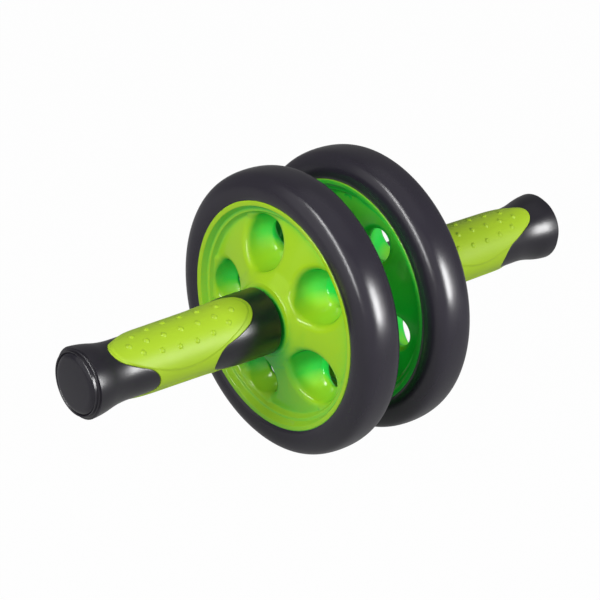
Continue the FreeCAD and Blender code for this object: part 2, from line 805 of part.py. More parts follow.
def make_nut(label):
    """Hexagon nut on the rod's thread."""
    body = new_body(label)
    sketch = new_sketch(body, f"{label}_hexagon", "YZ_Plane", nut_start)
    sine_share = math.sin(2 * math.pi / NUT_SIDES)
    half = nut_corner_radius / 2
    across = nut_corner_radius * sine_share
    corners = [(nut_corner_radius, 0), (half, across), (-half, across), (-nut_corner_radius, 0),
               (-half, -across), (half, -across)]
    draw_outline(sketch, corners)
    ring = sketch.addGeometry(Part.Circle(Vector(0, 0, 0), Z_AXIS, thread_radius.value), False)
    sketch.addConstraint(Sketcher.Constraint("Coincident", ring, 3, -1, 1))
    index = sketch.addConstraint(Sketcher.Constraint("Radius", ring, thread_radius.value))
    sketch.setExpression(f"Constraints[{index}]", thread_radius.formula)
    block = body.newObject("PartDesign::Pad", f"{label}_pad")
    block.Profile = sketch
    block.setExpression("Length", size.nut_height.formula)
    return body


# The whole roller


def build_wheel(side, sign, spin):
    """Make one wheel: tyre, two rim halves, bushes and screws."""
    left = sign < 0
    x = wheel_offset * sign
    place(make_tyre(f"{side}_tyre"), x, spin, left)
    place(make_outer_rim(f"{side}_outer_rim"), x, spin, left)
    place(make_inner_rim(f"{side}_inner_rim"), x, spin, not left)
    place(make_rim_screws(f"{side}_rim_screws"), x, spin, not left)
    place(make_bush(f"{side}_outer_bush"), x, spin, left)
    place(make_bush(f"{side}_inner_bush"), x, spin, not left)


def build_handle(side, sign):
    """Make one handle with what clamps it, and the washers beside its wheel."""
    left = sign < 0
    roll = SIZES["handle_roll"]
    blank = make_grip_blank(f"{side}_grip_blank")
    place(make_core(f"{side}_handle_core", blank), None, roll, left)
    place(make_grip(f"{side}_grip", blank), None, roll, left)
    place(make_cap(f"{side}_end_cap"), None, roll, left)
    washer_end = nut_seat + size.end_washer_thickness
    washer = make_ring(f"{side}_end_washer", nut_seat, washer_end, thread_radius, end_washer_radius)
    place(washer, None, roll, left)
    place(make_nut(f"{side}_lock_nut"), None, roll, left)
    outer_start = wheel_offset + thrust_reach
    outer = make_ring(f"{side}_outer_thrust_washer", outer_start, handle_start,
                      journal_bore, bush_flange_radius)
    place(outer, None, roll, left)
    inner_end = wheel_offset - thrust_reach
    inner = make_ring(f"{side}_inner_thrust_washer", inner_end - size.thrust_washer_thickness,
                      inner_end, journal_bore, bush_flange_radius)
    place(inner, None, roll, left)


def build_middle():
    """Make the rod and the spacer between the wheels."""
    place(make_rod("axle_rod"))
    spacer_end = wheel_offset - thrust_reach - size.thrust_washer_thickness
    spacer = make_ring("wheel_spacer", -spacer_end, spacer_end, journal_bore,
                       journal_bore + size.spacer_wall)
    place(spacer)


def write_parts():
    """Check every object of the document, then write each finished piece to its own file."""
    doc.recompute()
    for item in doc.Objects:
        if {"Invalid", "Error"} & set(item.State):
            raise RuntimeError(f"{item.Label} did not rebuild: {item.State}")
    os.makedirs("parts", exist_ok=True)
    for piece in NODES:
        if piece.Shape.isNull() or not piece.Shape.isValid():
            raise RuntimeError(f"{piece.Label} has no valid shape")
        solids = len(piece.Shape.Solids)
        print(f"{piece.Label}: {solids} solid(s), {piece.Shape.Volume:.1f} cubic mm")
        piece.Shape.exportStep(f"parts/{piece.Label}.step")


build_middle()
build_wheel("left", -1, SIZES["left_wheel_turn"])
build_wheel("right", 1, SIZES["right_wheel_turn"])
build_handle("left", -1)
build_handle("right", 1)
write_parts()
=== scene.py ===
"""Looks of an ab wheel roller: two free wheels on a rod between two soft handles.

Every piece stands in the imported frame, in metres: X along the rod, Z up, the floor at zero.
Sizes in the classes are in millimetres, as in the part's drawings.
"""

import logging
import math
from dataclasses import dataclass, field
from enum import Enum
from typing import Any, Iterable, Sequence

import bmesh
import bpy
from mathutils import Matrix, Vector


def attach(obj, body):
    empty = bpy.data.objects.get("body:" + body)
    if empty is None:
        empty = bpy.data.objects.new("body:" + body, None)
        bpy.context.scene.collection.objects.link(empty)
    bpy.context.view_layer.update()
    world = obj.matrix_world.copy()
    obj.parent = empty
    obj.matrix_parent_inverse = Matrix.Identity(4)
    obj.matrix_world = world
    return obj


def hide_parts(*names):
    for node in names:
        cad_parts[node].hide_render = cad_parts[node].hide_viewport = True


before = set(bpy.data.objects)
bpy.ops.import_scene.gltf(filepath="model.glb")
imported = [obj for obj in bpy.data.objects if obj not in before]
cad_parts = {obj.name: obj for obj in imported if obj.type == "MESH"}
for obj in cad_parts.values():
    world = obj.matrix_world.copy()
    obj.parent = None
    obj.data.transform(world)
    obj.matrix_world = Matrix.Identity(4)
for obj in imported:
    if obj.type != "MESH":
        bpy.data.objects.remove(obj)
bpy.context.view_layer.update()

MM = 0.001
AXLE_HEIGHT = 90.0
WHEEL_OFFSET = 28.6

DRIFT_SCALE, DRIFT_DETAIL = 45.0, 4.0
PATCH_SCALE = 130.0
GRAIN_DETAIL = 3.0
TURNED_STRETCH = (1.0, 0.06, 0.06)
SCATTER_REACH = 0.002
SAME_POINT, MERGE_GAP = 1e-7, 1e-6
NEARLY_STRAIGHT = math.radians(179)

Profile = list[tuple[float, float]]
log = logging.getLogger("ab_wheel")


class Side(Enum):
    """Which end of the rod a piece belongs to, as a sign along X."""

    LEFT = -1
    RIGHT = 1

    @property
    def label(self) -> str:
        """Name of the side, as the nodes and bodies use it."""
        return self.name.lower()

    @property
    def wheel_body(self) -> str:
        """Body that turns with this side's wheel."""
        return f"{self.label}_wheel"


class Half(Enum):
    """Half of a rim, as a sign away from the wheel's middle plane."""

    OUTER = 1
    INNER = -1

    @property
    def label(self) -> str:
        """Name of the half, as the nodes use it."""
        return self.name.lower()


class Grain(Enum):
    """Kind of fine relief that a finish has."""

    FINE = "fine"
    PEBBLE = "pebble"
    TURNED = "turned"


@dataclass(frozen=True)
class Shade:
    """A colour as a screen shows it, from 0 to 255."""

    red: float
    green: float
    blue: float

    def linear(self) -> tuple[float, float, float, float]:
        """Return the colour as the shader sockets take it."""
        values = []
        for level in (self.red, self.green, self.blue):
            share = level / 255
            values.append(share / 12.92 if share <= 0.04045 else ((share + 0.055) / 1.055) ** 2.4)
        return (values[0], values[1], values[2], 1.0)


class Wiring:
    """Adds nodes to a tree and links them."""

    def __init__(self, tree: bpy.types.NodeTree) -> None:
        """Keep the tree that the nodes go into."""
        self.tree = tree

    def node(self, kind: str, **settings: Any) -> bpy.types.Node:
        """Add one node.

        Args:
            kind: Blender's name for the node's type.
            settings: properties of the node, set as it is made.

        Returns:
            The new node.
        """
        made = self.tree.nodes.new(kind)
        for name, value in settings.items():
            setattr(made, name, value)
        return made

    def feed(self, socket: bpy.types.NodeSocket, value: Any) -> None:
        """Link a socket to another one, or give it a plain value.

        Args:
            socket: the input to feed.
            value: an output socket, or a number, vector, colour or other plain value.
        """
        if isinstance(value, bpy.types.NodeSocket):
            self.tree.links.new(value, socket)
        else:
            socket.default_value = value

    def put(self, kind: str, feeds: dict[str | int, Any], **settings: Any) -> bpy.types.NodeOutputs:
        """Add one node and feed its inputs.

        Args:
            kind: Blender's name for the node's type.
            feeds: output sockets or plain values, by the input's name or number.
            settings: properties of the node, set as it is made.

        Returns:
            The node's outputs.
        """
        made = self.node(kind, **settings)
        for key, value in feeds.items():
            self.feed(made.inputs[key], value)
        return made.outputs

    def math(self, operation: str, *terms: Any) -> bpy.types.NodeSocket:
        """Add a math node.

        Args:
            operation: Blender's name for the operation.
            terms: its inputs, sockets or numbers.

        Returns:
            The node's output.
        """
        return self.put("ShaderNodeMath", dict(enumerate(terms)), operation=operation)[0]

    def vector(self, x: Any, y: Any, z: Any) -> bpy.types.NodeSocket:
        """Join three numbers into a vector and return its socket."""
        return self.put("ShaderNodeCombineXYZ", {"X": x, "Y": y, "Z": z})[0]


@dataclass(frozen=True)
class Deepening:
    """Painted shade: a deep colour mixed into a plastic's own colour where little light reaches it and
    where it faces away from the lamps.
    """

    # colour of the painted shade
    colour: Shade
    open_side: tuple[float, float, float] = (-0.82, -0.27, 0.5)
    reach: float = 0.12
    samples: int = 12
    open_share: tuple[float, float] = (0.68, 0.48)
    bright_side: tuple[float, float, float] = (-0.404, -0.157, 0.901)
    facing: tuple[float, float] = (0.9, 0.45)
    least: float = 0.3

    def tint(self, wiring: Wiring, plain: bpy.types.NodeSocket) -> bpy.types.NodeSocket:
        """Mix the painted shade's colour into the plain one.

        Args:
            wiring: the material's nodes.
            plain: the colour in the open.

        Returns:
            The mixed colour.
        """
        # painted shade: stronger where ambient occlusion finds little open space toward the lamps
        cover = wiring.put("ShaderNodeAmbientOcclusion", samples=self.samples, feeds={
            "Distance": self.reach, "Normal": wiring.vector(*self.open_side)})
        painted_occlusion_shade = wiring.put("ShaderNodeMapRange", {
            "Value": cover["AO"], "From Min": self.open_share[0], "From Max": self.open_share[1]})
        # painted shade also grows on faces turned away from the lamps' side
        surface = wiring.node("ShaderNodeNewGeometry").outputs["Normal"]
        toward = wiring.put("ShaderNodeVectorMath", operation="DOT_PRODUCT", feeds={
            0: surface, 1: self.bright_side})
        away = wiring.put("ShaderNodeMapRange", {
            "Value": toward["Value"], "From Min": self.facing[0], "From Max": self.facing[1],
            "To Min": self.least})
        share = wiring.math("MULTIPLY", painted_occlusion_shade["Result"], away["Result"])
        return wiring.put("ShaderNodeMix", data_type="RGBA", feeds={
            "Factor": share, "A": plain, "B": self.colour.linear()})["Result"]


@dataclass(frozen=True)
class Finish:
    """A moulded, rubbed or turned surface, made by nodes from Object coordinates, with painted shade
    where one is given.
    """

    name: str
    colour: Shade
    drift: Shade
    roughness: float
    roughness_drift: float
    grain: Grain
    grain_size: float
    grain_depth: float
    specular: float = 0.5
    coat: float = 0.0
    coat_roughness: float = 0.1
    sheen: float = 0.0
    metallic: float = 0.0
    subsurface: float = 0.0
    # painted shade mixed into the colour, where one is given
    deep: Deepening | None = None

    def relief(self, wiring: Wiring, place: bpy.types.NodeSocket) -> bpy.types.NodeSocket:
        """Add the texture that the bump follows.

        Args:
            wiring: the material's nodes.
            place: Object coordinates.

        Returns:
            The texture's height.
        """
        scale = 1 / (self.grain_size * MM)
        if self.grain is Grain.PEBBLE:
            return wiring.put("ShaderNodeTexVoronoi", feature="SMOOTH_F1", feeds={
                "Vector": place, "Scale": scale})["Distance"]
        if self.grain is Grain.TURNED:
            place = wiring.put("ShaderNodeMapping", {"Vector": place, "Scale": TURNED_STRETCH})["Vector"]
        return wiring.put("ShaderNodeTexNoise", {
            "Vector": place, "Scale": scale, "Detail": GRAIN_DETAIL})["Fac"]

    def material(self) -> bpy.types.Material:
        """Return the finish's material, made on the first call."""
        label = f"{self.name}_finish"
        made = bpy.data.materials.get(label)
        if made is not None:
            return made
        made = bpy.data.materials.new(label)
        made.use_nodes = True
        made.node_tree.nodes.clear()
        wiring = Wiring(made.node_tree)
        place = wiring.node("ShaderNodeTexCoord").outputs["Object"]
        slow = wiring.put("ShaderNodeTexNoise", {
            "Vector": place, "Scale": DRIFT_SCALE, "Detail": DRIFT_DETAIL})
        colour = wiring.put("ShaderNodeMix", data_type="RGBA", feeds={
            "Factor": slow["Fac"], "A": self.colour.linear(), "B": self.drift.linear()})["Result"]
        # painted shade laid over the plastic's own colour
        if self.deep is not None:
            colour = self.deep.tint(wiring, colour)
        patch = wiring.put("ShaderNodeTexNoise", {"Vector": place, "Scale": PATCH_SCALE})
        spread = wiring.put("ShaderNodeMapRange", {
            "Value": patch["Fac"], "To Min": self.roughness - self.roughness_drift,
            "To Max": self.roughness + self.roughness_drift})
        bump = wiring.put("ShaderNodeBump", {
            "Strength": 1.0, "Distance": self.grain_depth * MM, "Height": self.relief(wiring, place)})
        shader = wiring.put("ShaderNodeBsdfPrincipled", {
            "Base Color": colour, "Roughness": spread["Result"], "Normal": bump["Normal"],
            "Specular IOR Level": self.specular, "Coat Weight": self.coat,
            "Coat Roughness": self.coat_roughness, "Sheen Weight": self.sheen, "Metallic": self.metallic,
            "Subsurface Weight": self.subsurface, "Subsurface Scale": SCATTER_REACH})
        wiring.put("ShaderNodeOutputMaterial", {"Surface": shader["BSDF"]})
        return made


TYRE_RUBBER = Finish("tyre_rubber", Shade(35, 32, 41), Shade(40, 37, 47), 0.25, 0.03,
                     Grain.FINE, 0.7, 0.012, specular=0.55)
# the rim plastic carries painted shade: deep green in occluded places and on faces turned from the lamps
RIM_PLASTIC = Finish("rim_plastic", Shade(164, 206, 30), Shade(158, 203, 30), 0.16, 0.03,
                     Grain.FINE, 3.0, 0.004, specular=0.33, coat=0.15, coat_roughness=0.06,
                     deep=Deepening(Shade(40, 200, 68)))
HANDLE_PLASTIC = Finish("handle_plastic", Shade(20, 18, 26), Shade(26, 23, 32), 0.31, 0.04,
                        Grain.FINE, 0.5, 0.01, coat=0.3, coat_roughness=0.28)
GRIP_RUBBER = Finish("grip_rubber", Shade(160, 192, 33), Shade(152, 186, 31), 0.48, 0.05,
                     Grain.PEBBLE, 0.45, 0.01, specular=0.4, sheen=0.05)
CAP_PLASTIC = Finish("cap_plastic", Shade(25, 23, 31), Shade(30, 28, 36), 0.2, 0.03,
                     Grain.FINE, 1.5, 0.004)
ROD_STEEL = Finish("rod_steel", Shade(196, 197, 200), Shade(182, 183, 187), 0.28, 0.06,
                   Grain.TURNED, 0.2, 0.004, metallic=1.0)
ZINC_STEEL = Finish("zinc_steel", Shade(186, 188, 194), Shade(172, 175, 184), 0.34, 0.08,
                    Grain.FINE, 0.6, 0.006, metallic=1.0)
BUSH_NYLON = Finish("bush_nylon", Shade(222, 219, 208), Shade(213, 210, 198), 0.42, 0.05,
                    Grain.FINE, 0.8, 0.01, subsurface=0.1)
SPACER_PLASTIC = Finish("spacer_plastic", Shade(44, 43, 46), Shade(51, 50, 54), 0.4, 0.05,
                        Grain.FINE, 0.8, 0.015)


def rod_point(along: float, radius: float, turn: float, height: float = AXLE_HEIGHT) -> Vector:
    """Return a point around the rod.

    Args:
        along: millimetres along X.
        radius: millimetres from the rod's axis.
        turn: radians from straight up towards the front.
        height: millimetres from the floor to the axis.

    Returns:
        The point in metres.
    """
    return Vector((along, -radius * math.sin(turn), height + radius * math.cos(turn))) * MM


def rounded(corners: Sequence[tuple[float, float, float]], steps: int = 8) -> Profile:
    """Return a line through corners, each rounded by its own radius.

    Args:
        corners: (along, radius, rounding) of each corner.
        steps: pieces in each rounding.

    Returns:
        Points of the line, with the first and last corner as they are.
    """
    line: Profile = [corners[0][:2]]
    for before, corner, after in zip(corners, corners[1:], corners[2:]):
        here = Vector(corner[:2])
        back = (Vector(before[:2]) - here).normalized()
        ahead = (Vector(after[:2]) - here).normalized()
        opening = back.angle(ahead)
        if corner[2] == 0 or opening > NEARLY_STRAIGHT:
            line.append(corner[:2])
            continue
        centre = here + (back + ahead).normalized() * (corner[2] / math.sin(opening / 2))
        tangent = corner[2] / math.tan(opening / 2)
        first = here + back * tangent - centre
        last = here + ahead * tangent - centre
        for step in range(steps + 1):
            arm = first.slerp(last, step / steps)
            line.append(tuple(centre + arm))
    line.append(corners[-1][:2])
    return line


def soften(mesh: bpy.types.Mesh, crease: float) -> None:
    """Shade a mesh smooth, but for edges sharper than so many degrees."""
    mesh.shade_smooth()
    mesh.set_sharp_from_angle(angle=math.radians(crease))


class Skin:
    """Points and faces that become one mesh."""

    def __init__(self) -> None:
        """Start with no points."""
        self.points: list[Vector] = []
        self.faces: list[tuple[int, ...]] = []

    def row(self, points: Iterable[Vector]) -> list[int]:
        """Add points that lie side by side, and return their numbers."""
        first = len(self.points)
        self.points.extend(points)
        return list(range(first, len(self.points)))

    def bridge(self, near: Sequence[int], far: Sequence[int], closed: bool = True) -> None:
        """Join two rows by faces.

        Args:
            near: numbers of the first row.
            far: numbers of the second row, as many.
            closed: whether the rows run all the way round.
        """
        count = len(near)
        for k in range(count if closed else count - 1):
            after = (k + 1) % count
            self.faces.append((near[k], near[after], far[after], far[k]))

    def loft(self, rows: Iterable[Iterable[Vector]], ring: bool = False,
             closed: bool = True) -> list[list[int]]:
        """Add rows and join each to the next.

        Args:
            rows: the points of each row, in metres.
            ring: whether the last row joins the first.
            closed: whether the rows run all the way round.

        Returns:
            The numbers of each row's points.
        """
        numbered = [self.row(row) for row in rows]
        for near, far in zip(numbered, numbered[1:] + (numbered[:1] if ring else [])):
            self.bridge(near, far, closed)
        return numbered

    def fan(self, row: Sequence[int], tip: Vector) -> None:
        """Close a round row with faces to one point."""
        middle = self.row([tip])[0]
        for k, number in enumerate(row):
            self.faces.append((number, row[(k + 1) % len(row)], middle))

    def mesh(self, name: str, crease: float = 38.0) -> bpy.types.Mesh:
        """Make the mesh.

        Args:
            name: the mesh's name.
            crease: edges sharper than this many degrees are drawn sharp.

        Returns:
            The mesh, smooth, with its doubles merged.
        """
        made = bpy.data.meshes.new(name)
        made.from_pydata(self.points, [], self.faces)
        work = bmesh.new()
        work.from_mesh(made)
        bmesh.ops.remove_doubles(work, verts=work.verts, dist=SAME_POINT)
        bmesh.ops.recalc_face_normals(work, faces=work.faces)
        work.to_mesh(made)
        work.free()
        soften(made, crease)
        return made


def turned_skin(profile: Profile, around: int, flip: int = 1, middle: float = 0.0) -> Skin:
    """Turn a closed profile round the rod.

    Args:
        profile: (along, radius) points, the last joined to the first.
        around: faces round the rod.
        flip: sign of X for the profile's own direction.
        middle: millimetres from the origin to where the profile is measured from.

    Returns:
        The closed ring.
    """
    skin = Skin()
    skin.loft([[rod_point(flip * (middle + along), radius, math.tau * k / around) for k in range(around)]
               for along, radius in profile], ring=True)
    return skin


def new_object(name: str, mesh: bpy.types.Mesh, finish: Finish | None = None) -> bpy.types.Object:
    """Put a mesh in the scene.

    Args:
        name: the object's name.
        mesh: its mesh, already in place.
        finish: its finish, where the mesh has none yet.

    Returns:
        The object, at the origin.
    """
    made = bpy.data.objects.new(name, mesh)
    bpy.context.scene.collection.objects.link(made)
    if finish is not None:
        mesh.materials.clear()
        mesh.materials.append(finish.material())
    return made


def settled(holder: bpy.types.Object, name: str) -> bpy.types.Mesh:
    """Return what an object's modifiers make of it as a plain mesh, and take the object away.

    Args:
        holder: the object that has the modifiers.
        name: name of the result.

    Returns:
        The plain mesh.
    """
    graph = bpy.context.evaluated_depsgraph_get()
    made = bpy.data.meshes.new_from_object(holder.evaluated_get(graph))
    made.name = name
    holder.modifiers.clear()
    bpy.data.objects.remove(holder)
    return made


def walled(sheet: bpy.types.Mesh, wall: float, crease: float = 50.0) -> bpy.types.Mesh:
    """Give an open sheet a wall behind it.

    Args:
        sheet: the sheet, whose faces point outwards.
        wall: thickness in millimetres.
        crease: edges sharper than this many degrees are drawn sharp.

    Returns:
        The closed mesh, smooth but for its edges.
    """
    holder = new_object(f"{sheet.name}_sheet", sheet)
    modifier = holder.modifiers.new("wall", "SOLIDIFY")
    modifier.thickness = wall * MM
    modifier.offset = -1.0
    made = settled(holder, sheet.name)
    soften(made, crease)
    return made


class NodeTool:
    """A Geometry Nodes tree with named sizes, used once for each piece."""

    def __init__(self, name: str, inputs: Sequence[tuple[str, str]]) -> None:
        """Start the tree.

        Args:
            name: the tree's name.
            inputs: (name, socket type) of each input after the geometry.
        """
        self.tree = bpy.data.node_groups.new(name, "GeometryNodeTree")
        face = self.tree.interface
        face.new_socket("Geometry", in_out="INPUT", socket_type="NodeSocketGeometry")
        self.keys = {label: face.new_socket(label, in_out="INPUT", socket_type=kind).identifier
                     for label, kind in inputs}
        face.new_socket("Geometry", in_out="OUTPUT", socket_type="NodeSocketGeometry")
        self.wiring = Wiring(self.tree)
        self.given = self.wiring.node("NodeGroupInput").outputs

    def close(self, geometry: bpy.types.NodeSocket) -> None:
        """End the tree: real geometry, its doubles merged, in the material that is given."""
        wiring = self.wiring
        real = wiring.put("GeometryNodeRealizeInstances", {"Geometry": geometry})
        merged = wiring.put("GeometryNodeMergeByDistance", {
            "Geometry": real["Geometry"], "Distance": MERGE_GAP})
        dressed = wiring.put("GeometryNodeSetMaterial", {
            "Geometry": merged["Geometry"], "Material": self.given["Material"]})
        wiring.put("NodeGroupOutput", {"Geometry": dressed["Geometry"]})

    def run(self, name: str, mesh: bpy.types.Mesh, values: dict[str, Any]) -> bpy.types.Mesh:
        """Run the tree on a mesh.

        Args:
            name: name of the result.
            mesh: the geometry that goes in.
            values: the inputs by name.

        Returns:
            A plain mesh.
        """
        holder = new_object(f"{name}_work", mesh)
        modifier = holder.modifiers.new("make", "NODES")
        modifier.node_group = self.tree
        for label, value in values.items():
            modifier[self.keys[label]] = value
        return settled(holder, name)


def ring_tool() -> NodeTool:
    """Return the tree that repeats a piece around the rod, as many times as it is told."""
    tool = NodeTool("around_the_rod", [
        ("Count", "NodeSocketInt"), ("Turn", "NodeSocketFloat"), ("Axle Height", "NodeSocketFloat"),
        ("Material", "NodeSocketMaterial")])
    wiring, given = tool.wiring, tool.given
    axle = wiring.vector(0.0, 0.0, given["Axle Height"])
    points = wiring.put("GeometryNodePoints", {"Count": given["Count"], "Position": axle})
    index = wiring.node("GeometryNodeInputIndex").outputs[0]
    step = wiring.math("DIVIDE", math.tau, given["Count"])
    turn = wiring.math("MULTIPLY_ADD", index, step, given["Turn"])
    rotation = wiring.put("FunctionNodeEulerToRotation", {0: wiring.vector(turn, 0.0, 0.0)})
    spread = wiring.put("GeometryNodeInstanceOnPoints", {
        "Points": points[0], "Instance": given["Geometry"], "Rotation": rotation[0]})
    tool.close(spread["Instances"])
    return tool


@dataclass
class Tyre:
    """Rubber ring of one wheel, crowned, with rounded shoulders and a bevelled inner lip."""

    side: Side
    seat: tuple[float, float] = (10.5, 68.0)
    lip: tuple[float, float] = (13.8, 72.15)
    bulge: tuple[tuple[float, float], ...] = (
        (13.95, 72.5), (14.75, 73.9), (15.3, 75.9), (15.45, 78.2), (15.1, 80.9),
        (14.1, 83.7), (12.5, 86.3), (10.4, 88.25), (7.6, 89.3), (4.0, 89.85))
    steps: int = 5
    around: int = 240
    crease: float = 50.0

    def half_profile(self) -> Profile:
        """Return the outer line of one half, from the seat over the bulge to the crown's middle."""
        crown = (0.0, AXLE_HEIGHT)
        mirrored = (-self.bulge[-1][0], self.bulge[-1][1])
        knots = [Vector(knot) for knot in (self.lip, *self.bulge, crown, mirrored)]
        line = [self.seat, (self.seat[0], self.lip[1]), self.lip]
        for before, near, far, after in zip(knots, knots[1:], knots[2:], knots[3:]):
            for k in range(self.steps):
                share = k / self.steps
                spot = (before * (1 - share) ** 3 + near * (3 * share ** 3 - 6 * share ** 2 + 4)
                        + far * (3 * share * (1 + share - share ** 2) + 1) + after * share ** 3) / 6
                line.append(tuple(spot))
        return line + [(0.0, (2 * crown[1] + mirrored[1]) / 3)]

    def build(self) -> bpy.types.Object:
        """Make the tyre and ride it on its wheel."""
        half = self.half_profile()
        profile = half + [(-along, radius) for along, radius in reversed(half[:-1])]
        skin = turned_skin(profile, self.around, 1, self.side.value * WHEEL_OFFSET)
        name = f"{self.side.label}_tyre_rubber"
        made = new_object(name, skin.mesh(name, self.crease), TYRE_RUBBER)
        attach(made, self.side.wheel_body)
        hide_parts(f"{self.side.label}_tyre")
        return made


@dataclass
class Rim:
    """Moulded rim half: a boss, a sloping web with scooped holes, and a stepped outer ring."""

    side: Side
    half: Half
    turn: float
    holes: int = 5
    face: float = 13.8
    edge_radius: float = 72.0
    boss: tuple[float, float] = (20.2, 23.6)
    boss_bore: float = 12.45
    hub_foot: tuple[float, float] = (10.0, 28.2)
    web_foot: tuple[float, float] = (6.6, 63.5)
    ledge: tuple[tuple[float, float], tuple[float, float]] = ((9.8, 65.2), (10.4, 67.0))
    lip_radius: float = 69.4
    hole_circle: float = 45.85
    mouth: tuple[float, float] = (8.3, 17.15)
    neck: tuple[float, float] = (-5.0, 10.0)
    bowl_round: float = 26.3
    soft_run: float = 4.2
    lip_run: float = 3.3
    run_share: float = 0.9
    mouth_margin: float = 0.5
    outline_margin: float = 0.3
    join_margin: float = 0.05
    small: float = 0.01
    wall: float = 2.2
    inner_arc: float = 26.0
    outer_arc: float = 64.4
    edge_depth: float = 2.9
    roundings: tuple[float, ...] = (1.8, 6.0, 1.6, 0.7, 0.7, 0.9, 0.5)
    counts: tuple[int, int, int] = (32, 28, 56)
    bowl_steps: int = 10
    soft_steps: int = 12
    neck_steps: int = 8
    lip_steps: int = 9
    web_steps: int = 10
    base: Profile = field(init=False)
    bowl_centre: Vector = field(init=False)

    def __post_init__(self) -> None:
        """Work out the face's line from the boss's bore to the edge, and the middle of the bowls' arc."""
        mouth, neck = Vector(self.mouth), Vector(self.neck)
        chord = mouth - neck
        aside = Vector((chord.y, -chord.x)).normalized()
        rise = math.sqrt(self.bowl_round ** 2 - chord.length_squared / 4)
        self.bowl_centre = (mouth + neck) / 2 + aside * rise
        corners = (self.boss, self.hub_foot, self.web_foot, *self.ledge, (self.face, self.lip_radius),
                   (self.face, self.edge_radius))
        self.base = rounded([(self.boss[0], self.boss_bore, 0),
                             *((*corner, rounding) for corner, rounding in zip(corners, self.roundings)),
                             (self.face - self.edge_depth, self.edge_radius, 0)])

    def height(self, radius: float) -> float:
        """Return how far the unscooped face stands from the middle plane at a radius."""
        for (low, near), (high, far) in zip(self.base, self.base[1:]):
            if near <= radius <= far and far > near:
                return low + (high - low) * (radius - near) / (far - near)
        return self.face

    def bowl(self, height: float) -> float:
        """Return the radius of a hole's bowl at a height on the outer side of the middle plane."""
        return self.bowl_centre.y + math.sqrt(self.bowl_round ** 2 - (height - self.bowl_centre.x) ** 2)

    def ray(self, radius: float, turn: float) -> Profile:
        """Return the face's line from a hole's wall at the middle plane out to a point of the outline.

        Args:
            radius: radius of the outline's point.
            turn: turn of the outline's point.

        Returns:
            (reach, height) points: distance from the hole's axis, and height over the middle plane.
        """
        span = self.span(radius, turn)

        def level(reach: float) -> float:
            """Return the height of the plain face along the way."""
            return self.height(self.away(radius, turn, reach)[0])

        if self.half is Half.OUTER:
            run = min(self.soft_run, (span - self.mouth[1] - self.mouth_margin) * self.run_share)
            low = level(self.mouth[1]) - run
            slope = (self.bowl(low + self.small) - self.bowl(low - self.small)) / (2 * self.small)
            foot = Vector((self.bowl(low), low))
            corner = Vector((foot.x + slope * run, level(foot.x + slope * run)))
            rest = min(corner.x + (corner - foot).length, span - self.outline_margin)
            shoulder = Vector((rest, level(rest)))
            heights = [low * k / self.bowl_steps for k in range(self.bowl_steps)]
            line = [(self.bowl(height), height) for height in heights]
            for k in range(self.soft_steps + 1):
                share = k / self.soft_steps
                bend = foot * (1 - share) ** 2 + corner * 2 * share * (1 - share) + shoulder * share ** 2
                line.append(tuple(bend))
        else:
            depth, reach = -self.neck[0], self.neck[1]
            rest = reach + self.lip_run
            rise = level(rest) - depth
            heights = [depth * k / self.neck_steps for k in range(self.neck_steps + 1)]
            line = [(self.bowl(-height), height) for height in heights]
            for k in range(1, self.lip_steps + 1):
                arc = math.pi / 2 * k / self.lip_steps
                line.append((reach + self.lip_run * (1 - math.cos(arc)), depth + rise * math.sin(arc)))
        for k in range(1, self.web_steps + 1):
            reach = rest + (span - rest) * k / self.web_steps
            line.append((reach, level(reach)))
        return line

    def outline(self) -> list[tuple[float, float]]:
        """Return the (radius, turn) points round one hole's share of the web."""
        inner, side, outer = self.counts
        reach = math.pi / self.holes
        corners = [(self.outer_arc, -reach), (self.outer_arc, reach),
                   (self.inner_arc, reach), (self.inner_arc, -reach)]
        line = []
        for (start, low), (stop, high), count in zip(corners, corners[1:] + corners[:1],
                                                     (outer, side, inner, side)):
            line += [(start + (stop - start) * k / count, low + (high - low) * k / count)
                     for k in range(count)]
        return line

    def sector(self) -> bpy.types.Mesh:
        """Return one hole's share of the face, as an open sheet about the rod's axis."""
        skin = Skin()
        sign = self.side.value

        def point(height: float, radius: float, turn: float) -> Vector:
            """Place a point of the face in the frame, about the axis."""
            return rod_point(sign * (WHEEL_OFFSET + self.half.value * height), radius, turn, 0.0)

        outline = self.outline()
        rays = [self.ray(radius, turn) for radius, turn in outline]
        skin.loft([[point(height, *self.away(radius, turn, reach))
                    for (radius, turn), (reach, height) in zip(outline, steps)] for steps in zip(*rays)])
        inner, _, outer = self.counts
        reach = math.pi / self.holes
        for line, count in ((self.hub_line(), inner), (self.ring_line(), outer)):
            turns = [-reach + 2 * reach * k / count for k in range(count + 1)]
            skin.loft([[point(height, radius, turn) for turn in turns] for height, radius in line],
                      closed=False)
        mesh = skin.mesh(f"{self.side.label}_{self.half.label}_rim_sector")
        outward = sum(face.normal.x * face.area for face in mesh.polygons)
        if outward * sign * self.half.value < 0:
            mesh.flip_normals()
        return mesh

    def span(self, radius: float, turn: float) -> float:
        """Return the distance from the hole's axis to a point of the outline."""
        return math.hypot(radius * math.cos(turn) - self.hole_circle, radius * math.sin(turn))

    def away(self, radius: float, turn: float, reach: float) -> tuple[float, float]:
        """Return a point on the way from the hole's axis to a point of the outline.

        Args:
            radius: radius of the outline's point.
            turn: turn of the outline's point.
            reach: distance from the hole's axis.

        Returns:
            Millimetres from the rod's axis, and radians round it.
        """
        share = reach / self.span(radius, turn)
        up = self.hole_circle + (radius * math.cos(turn) - self.hole_circle) * share
        across = radius * math.sin(turn) * share
        return math.hypot(up, across), math.atan2(across, up)

    def hub_line(self) -> Profile:
        """Return the face's line from the boss's bore to the web."""
        inner = [spot for spot in self.base if spot[1] < self.inner_arc - self.join_margin]
        return inner + [(self.height(self.inner_arc), self.inner_arc)]

    def ring_line(self) -> Profile:
        """Return the face's line from the web to the edge."""
        outer = [spot for spot in self.base if spot[1] > self.outer_arc + self.join_margin]
        return [(self.height(self.outer_arc), self.outer_arc)] + outer

